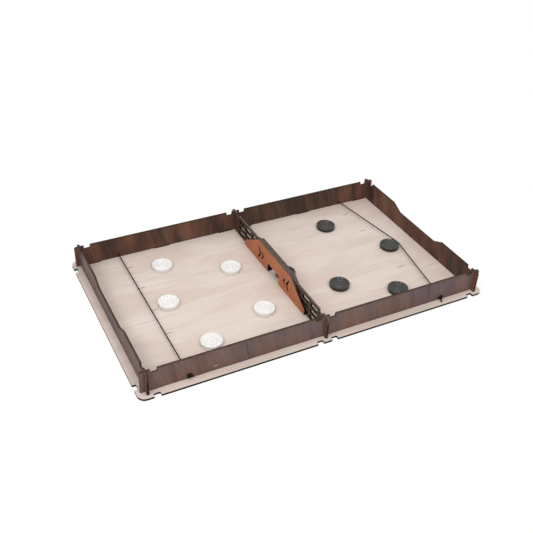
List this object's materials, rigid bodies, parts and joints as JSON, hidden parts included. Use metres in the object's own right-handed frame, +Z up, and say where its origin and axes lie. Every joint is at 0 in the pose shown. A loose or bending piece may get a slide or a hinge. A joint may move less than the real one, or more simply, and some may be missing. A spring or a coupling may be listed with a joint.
{
  "type": "sling puck game board",
  "caption": "Tabletop puck-shooting game: walled plywood board, central divider with a small gate, elastic slings and round pucks.",
  "frame": {"origin": "centre of the base board's underside", "axes": "+X along the length towards the black pucks' side, +Y towards the back long wall, +Z up"},
  "size_m": [0.51, 0.3, 0.0393],
  "materials": {
    "pale_plywood": "satin",
    "walnut_plywood": "satin",
    "lattice_plywood": "satin",
    "red_plywood": "satin",
    "white_puck": "satin",
    "black_puck": "satin",
    "elastic_cord": "woven"
  },
  "bodies": {
    "board": {"base_board": "pale_plywood", "front_long_wall": "walnut_plywood", "back_long_wall": "walnut_plywood", "left_end_wall": "walnut_plywood", "right_end_wall": "walnut_plywood", "divider_lattice_wall": "lattice_plywood", "left_gate_plate": "red_plywood", "right_gate_plate": "red_plywood", "white_sling_front_knot": "elastic_cord", "white_sling_back_knot": "elastic_cord", "black_sling_front_knot": "elastic_cord", "black_sling_back_knot": "elastic_cord"},
    "white_sling": {"white_side_sling": "elastic_cord"},
    "black_sling": {"black_side_sling": "elastic_cord"},
    "white_puck_1_body": {"white_puck_1": "white_puck"},
    "white_puck_2_body": {"white_puck_2": "white_puck"},
    "white_puck_3_body": {"white_puck_3": "white_puck"},
    "white_puck_4_body": {"white_puck_4": "white_puck"},
    "white_puck_5_body": {"white_puck_5": "white_puck"},
    "black_puck_1_body": {"black_puck_1": "black_puck"},
    "black_puck_2_body": {"black_puck_2": "black_puck"},
    "black_puck_3_body": {"black_puck_3": "black_puck"},
    "black_puck_4_body": {"black_puck_4": "black_puck"},
    "black_puck_5_body": {"black_puck_5": "black_puck"}
  },
  "joints": [
    {"name": "white_sling_draw", "type": "slide", "parent": "board", "child": "white_sling", "axis": [-1, 0, 0], "range_m": [0, 0.025], "deforming": ["white_side_sling"]},
    {"name": "black_sling_draw", "type": "slide", "parent": "board", "child": "black_sling", "axis": [1, 0, 0], "range_m": [-0.022, 0.012], "deforming": ["black_side_sling"]},
    {"name": "white_puck_1_slide", "type": "slide", "parent": "board", "child": "white_puck_1_body", "axis": [1, 0, 0], "range_m": [-0.033, 0.1195]},
    {"name": "white_puck_2_slide", "type": "slide", "parent": "board", "child": "white_puck_2_body", "axis": [1, 0, 0], "range_m": [-0.1214, 0.0311]},
    {"name": "white_puck_3_slide", "type": "slide", "parent": "board", "child": "white_puck_3_body", "axis": [1, 0, 0], "range_m": [-0.0112, 0.0298]},
    {"name": "white_puck_4_slide", "type": "slide", "parent": "board", "child": "white_puck_4_body", "axis": [1, 0, 0], "range_m": [-0.1236, 0.0289]},
    {"name": "white_puck_5_slide", "type": "slide", "parent": "board", "child": "white_puck_5_body", "axis": [1, 0, 0], "range_m": [-0.0328, 0.1197]},
    {"name": "black_puck_1_slide", "type": "slide", "parent": "board", "child": "black_puck_1_body", "axis": [1, 0, 0], "range_m": [-0.1123, 0.0402]},
    {"name": "black_puck_2_shot", "type": "slide", "parent": "black_sling", "child": "black_puck_2_body", "axis": [-1, 0, 0], "range_m": [0, 0.125]},
    {"name": "black_puck_3_slide", "type": "slide", "parent": "board", "child": "black_puck_3_body", "axis": [1, 0, 0], "range_m": [-0.054, 0.0985]},
    {"name": "black_puck_4_slide", "type": "slide", "parent": "board", "child": "black_puck_4_body", "axis": [1, 0, 0], "range_m": [-0.1247, 0.0278]},
    {"name": "black_puck_5_through_gate", "type": "slide", "parent": "board", "child": "black_puck_5_body", "axis": [-1, 0, 0], "range_m": [0, 0.1158]}
  ]
}
